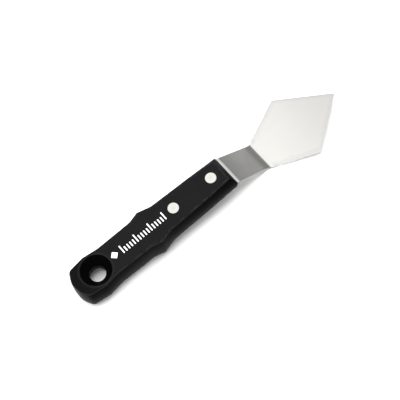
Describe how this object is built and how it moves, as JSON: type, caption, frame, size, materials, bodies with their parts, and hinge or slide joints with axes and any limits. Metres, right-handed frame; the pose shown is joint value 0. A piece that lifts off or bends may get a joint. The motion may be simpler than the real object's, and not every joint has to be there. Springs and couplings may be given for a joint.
{
  "type": "palette knife",
  "caption": "Cranked palette knife: a flat kite-shaped steel blade on a stepped-down shank, riveted into a black moulded handle with finger stops and a hanging hole.",
  "frame": {"origin": "centre of the hanging hole at the middle of the handle's thickness", "axes": "+X along the handle towards the blade's tip, +Z out of the upper flat face along the hanging hole, +Y to the left seen from above with the tip pointing away"},
  "size_m": [0.2082, 0.0486, 0.0254],
  "materials": {
    "handle_plastic": "black moulded polypropylene with a fine satin skin and a plain white printed scale on the upper face",
    "blade_steel": "finely brushed stainless steel, brighter on the ground blade than on the shank",
    "rivet_metal": "bright pressed rivet heads, slightly dulled in the middle"
  },
  "bodies": {
    "root": {"handle": "handle_plastic", "blade": "blade_steel", "rear_rivet_pin": "rivet_metal", "rear_rivet_socket": "rivet_metal", "front_rivet_pin": "rivet_metal", "front_rivet_socket": "rivet_metal"}
  },
  "joints": []
}
